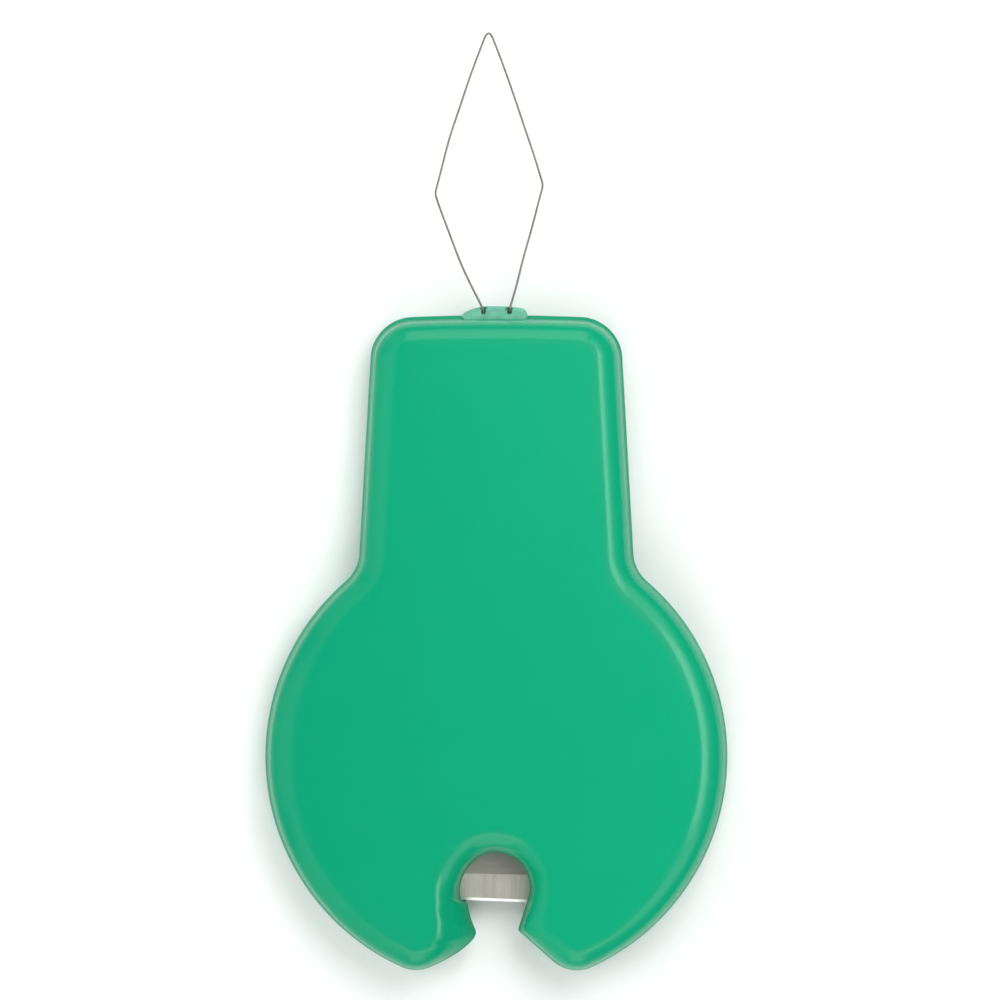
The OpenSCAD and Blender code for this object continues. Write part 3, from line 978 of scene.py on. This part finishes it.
def build_wire():
    """A round wire that sways a little sideways and upwards where it is free of the holder."""
    n_round = 14
    line, s = wire_line(0.12)
    rng = random.Random(7)
    waves = [(rng.uniform(0.5, 2.4), rng.uniform(0, 6.28), rng.uniform(0.006, 0.014)) for _ in range(5)]
    sway = sum(a * np.sin(f * s + p) for f, p, a in waves)
    lift = sum(0.6 * a * np.sin(0.7 * f * s + 2 * p) for f, p, a in waves)
    free = np.clip((line[:, 1] - EXIT_Y) / 2.0, 0, 1)
    along = np.gradient(line, axis=0)
    along /= np.linalg.norm(along, axis=1)[:, None]
    across = np.column_stack([along[:, 1], -along[:, 0]])
    line = line + across * (sway * free)[:, None]
    height = WIRE_Z + lift * free * 0.5
    verts = []
    for p, side, z in zip(line, across, height):
        for k in range(n_round):
            t = 2 * math.pi * k / n_round
            x, y = p + side * WIRE_R * math.cos(t)
            verts.append((x, y, z + WIRE_R * math.sin(t)))
    wire = mesh_object("threader_wire_looks", verts, closed_skin(len(line), n_round))
    finish_piece(wire, "threader_wire", "threader_wire", wire_steel.mat)


build_wire()

# ---------------------------------------------------------------- the wire holder
# The corners of the plug's nose, from right to left
NOSE = [
    (2.3, 32.45),
    (2.05, 32.88),
    (1.3, 32.99),
    (0.3, 33.05),
    (-0.9, 33.05),
    (-1.65, 32.9),
    (-2.55, 32.5),
]
NOSE_IN = (0.35, HOLDER_HALF_T)  # how far the nose draws in above and below, along X and Y
LEG_R = WIRE_R + 0.03  # the radius of the bores for the legs
MOUTH_Y = HOLDER_TIP_Y + 0.01  # where their flared mouths end
DIMPLE_Y = 32.62  # where a small pit opens upwards from each bore


def plug_outline():
    """The plug seen from above, open at its back, with its corners rounded."""
    n_bend = 9
    most_reach = 0.35
    side_share = 0.42  # the most of a side that one bend may take
    left_x = -HOLDER_W - HOLDER_LEFT
    back_y = HOLDER_STEP_Y - 0.8
    chain = [np.array([HOLDER_W, HOLDER_STEP_Y])]
    chain += [np.array(p) for p in NOSE]
    chain.append(np.array([left_x, HOLDER_STEP_Y]))
    outline = [np.array([HOLDER_W, back_y])]
    for before, corner, after in zip(chain, chain[1:], chain[2:]):
        sides = [np.linalg.norm(before - corner), np.linalg.norm(after - corner)]
        reach = min(most_reach, side_share * min(sides))
        outline += rounded_bend(before, corner, after, reach, n_bend)
    outline.append(np.array([left_x, back_y]))
    return np.array(outline)


def plug_body():
    """The outline in rows from the underside to the top, drawn in at both."""
    n_rows = 25
    outline = plug_outline()
    tangent = np.gradient(outline, axis=0)
    outward = np.column_stack([-tangent[:, 1], tangent[:, 0]]) / np.linalg.norm(tangent, axis=1)[:, None]
    outward *= np.sign(outward[len(outward) // 2, 1])
    verts = []
    for a in np.linspace(-90, 90, n_rows):
        c, s = at(a)
        row = outline - outward * (1 - c) * np.array(NOSE_IN)
        verts += [(x, y, HOLDER_Z + HOLDER_HALF_T * s) for x, y in row]
    return mesh_object("wire_holder_looks", verts, closed_skin(n_rows, len(outline)))


def bevelled_flange():
    """The flange behind the shells' top wall, with its edges broken."""
    box = block(-FLANGE_W, FLANGE_W, HOLDER_BACK_Y, HOLDER_STEP_Y, PLUG_LOW, PLUG_TOP)
    flange = join("add", [box])
    bm = bmesh.new()
    bm.from_mesh(flange.data)
    bmesh.ops.bevel(bm, geom=bm.edges[:], offset=0.12, segments=3, affect="EDGES", profile=0.5)
    bm.to_mesh(flange.data)
    bm.free()
    return flange


def leg_bore(x):
    """A bore along Y for one leg of the wire, with a flared mouth at the nose."""
    n_sides = 40
    mouth_r = LEG_R + 0.1
    profile = [
        (0, HOLDER_BACK_Y - PAST),
        (LEG_R, HOLDER_BACK_Y - PAST),
        (LEG_R, MOUTH_Y - 0.6),
        (LEG_R + 0.06, MOUTH_Y - 0.5),
        (mouth_r, MOUTH_Y),
        (mouth_r, MOUTH_Y + PAST),
        (0, MOUTH_Y + PAST),
    ]
    verts, faces = lathe(profile, 0, 0, n_sides)
    return [(x + u, w, WIRE_Z - v) for u, v, w in verts], faces


def paint_pit_shade(plug):
    """Gives the faces round each leg, in front of the step, the second material: a darker green that paints
    the shade in the pits.
    """
    pit_r = LEG_R + 0.16
    for p in plug.data.polygons:
        x, y, z = p.center
        near_leg = math.hypot(abs(x) - LEG_X, z - WIRE_Z) < pit_r
        p.material_index = 1 if near_leg and HOLDER_STEP_Y < y < MOUTH_Y - 0.06 else 0


def build_holder():
    plug = plug_body()
    combine(plug, bevelled_flange(), "UNION")
    cut(plug, [leg_bore(x) for x in (-LEG_X, LEG_X)])
    n_sides = 32
    low_r = 0.17
    top_r = 0.2
    top = PLUG_TOP + 0.2
    dimple = [(0, WIRE_Z), (low_r, WIRE_Z), (top_r, top), (0, top)]
    cut(plug, [lathe(dimple, x, DIMPLE_Y, n_sides) for x in (-LEG_X, LEG_X)])
    # The second material is the pits' painted shade.
    plastics = (plug_plastic.mat, pit_painted_shade.mat)
    for _ in plastics:
        plug.data.materials.append(None)
    paint_pit_shade(plug)
    finish_piece(plug, "wire_holder", "wire_holder", *plastics)


build_holder()

# ---------------------------------------------------------------- floor, light and camera
centre = (cad_lo + cad_hi) / 2
FLOOR_SIZE = 3  # from here on sizes are in metres
FLOOR_DROP = 0.00002
WORLD_STRENGTH = 0.39
CAMERA_LENS = 245
CAMERA_X = centre.x + 0.00026
CAMERA_Y = centre.y + 0.0001
CAMERA_Z = 0.5023
# The name, azimuth, elevation, distance, width, depth and radiance of each light, and which
# surfaces it is for where that isn't both
SOFTBOXES = [
    ("key", 0, 49, 0.24, 0.17, 0.065, 5.2, "gloss"),
    ("key_fill", 0, 49, 0.24, 0.24, 0.12, 0.8, "matt"),
    ("corner", 45, 42, 0.28, 0.12, 0.1, 1.6, "gloss"),
    ("top", 90, 37, 0.3, 0.2, 0.2, 1.92),
    ("low_right", -47, 37, 0.28, 0.18, 0.08, 1.6, "gloss"),
    ("low", -90, 32, 0.3, 0.2, 0.26, 1.44),
    ("low_fill", -90, 52, 0.24, 0.16, 0.16, 1.3, "matt"),
    ("low_left", -132, 25, 0.3, 0.2, 0.26, 0.62, "gloss"),
    ("left", 180, 28, 0.3, 0.2, 0.36, 0.34, "gloss"),
    ("upper_left", 135, 27, 0.28, 0.14, 0.24, 0.5, "gloss"),
    ("left_fill", 180, 32, 0.24, 0.2, 0.16, 2.0, "matt"),
    ("above", 50, 64, 0.17, 0.1, 0.1, 4.4, "matt"),
]


def build_floor():
    bpy.ops.mesh.primitive_plane_add(size=FLOOR_SIZE, location=(centre.x, centre.y, cad_lo.z - FLOOR_DROP))
    floor = bpy.context.object
    floor.name = "floor"
    m = Maker("floor_paper")
    tone = m.mix(m.range(m.noise(300, 3), 0, 1), (0.9, 0.9, 0.9, 1), (0.91, 0.91, 0.91, 1))
    m.set(Base_Color=tone, Roughness=0.9, Specular_IOR_Level=0.0)
    floor.data.materials.append(m.mat)


def build_world():
    """Even light from all round, which doesn't show in glossy surfaces."""
    world = bpy.data.worlds.new("studio")
    bpy.context.scene.world = world
    world.use_nodes = True
    background = world.node_tree.nodes["Background"]
    background.inputs["Color"].default_value = (1, 1, 1, 1)
    background.inputs["Strength"].default_value = WORLD_STRENGTH
    world.cycles_visibility.glossy = False


def softbox(name, azimuth, elevation, distance, width, depth, radiance, seen="both"):
    """A rectangular light that faces the object. Azimuth 0 is along +X and 90 along +Y.
    seen says whether it lights matt surfaces, shows in glossy ones, or both."""
    a = math.radians(azimuth)
    e = math.radians(elevation)
    away = Vector((math.cos(a) * math.cos(e), math.sin(a) * math.cos(e), math.sin(e)))
    side = Vector((-math.sin(a), math.cos(a), 0))
    up = away.cross(side)
    turned = Matrix((side, up, away)).transposed().to_4x4()
    light = bpy.data.lights.new(name, "AREA")
    light.shape = "RECTANGLE"
    light.size = width
    light.size_y = depth
    light.energy = math.pi * width * depth * radiance
    ob = bpy.data.objects.new(name, light)
    bpy.context.scene.collection.objects.link(ob)
    ob.matrix_world = Matrix.Translation(centre + away * distance) @ turned
    ob.visible_glossy = seen != "matt"
    ob.visible_diffuse = seen != "gloss"
    ob.visible_camera = False


def build_camera():
    """Above the object, looking straight down."""
    camera = bpy.data.objects.new("camera", bpy.data.cameras.new("camera"))
    bpy.context.scene.collection.objects.link(camera)
    bpy.context.scene.camera = camera
    camera.data.lens = CAMERA_LENS
    camera.data.sensor_width = 36
    camera.data.clip_end = 10
    camera.location = (CAMERA_X, CAMERA_Y, CAMERA_Z)


build_floor()
build_world()
for given in SOFTBOXES:
    softbox(*given)
build_camera()
bpy.context.scene.view_settings.view_transform = "Standard"
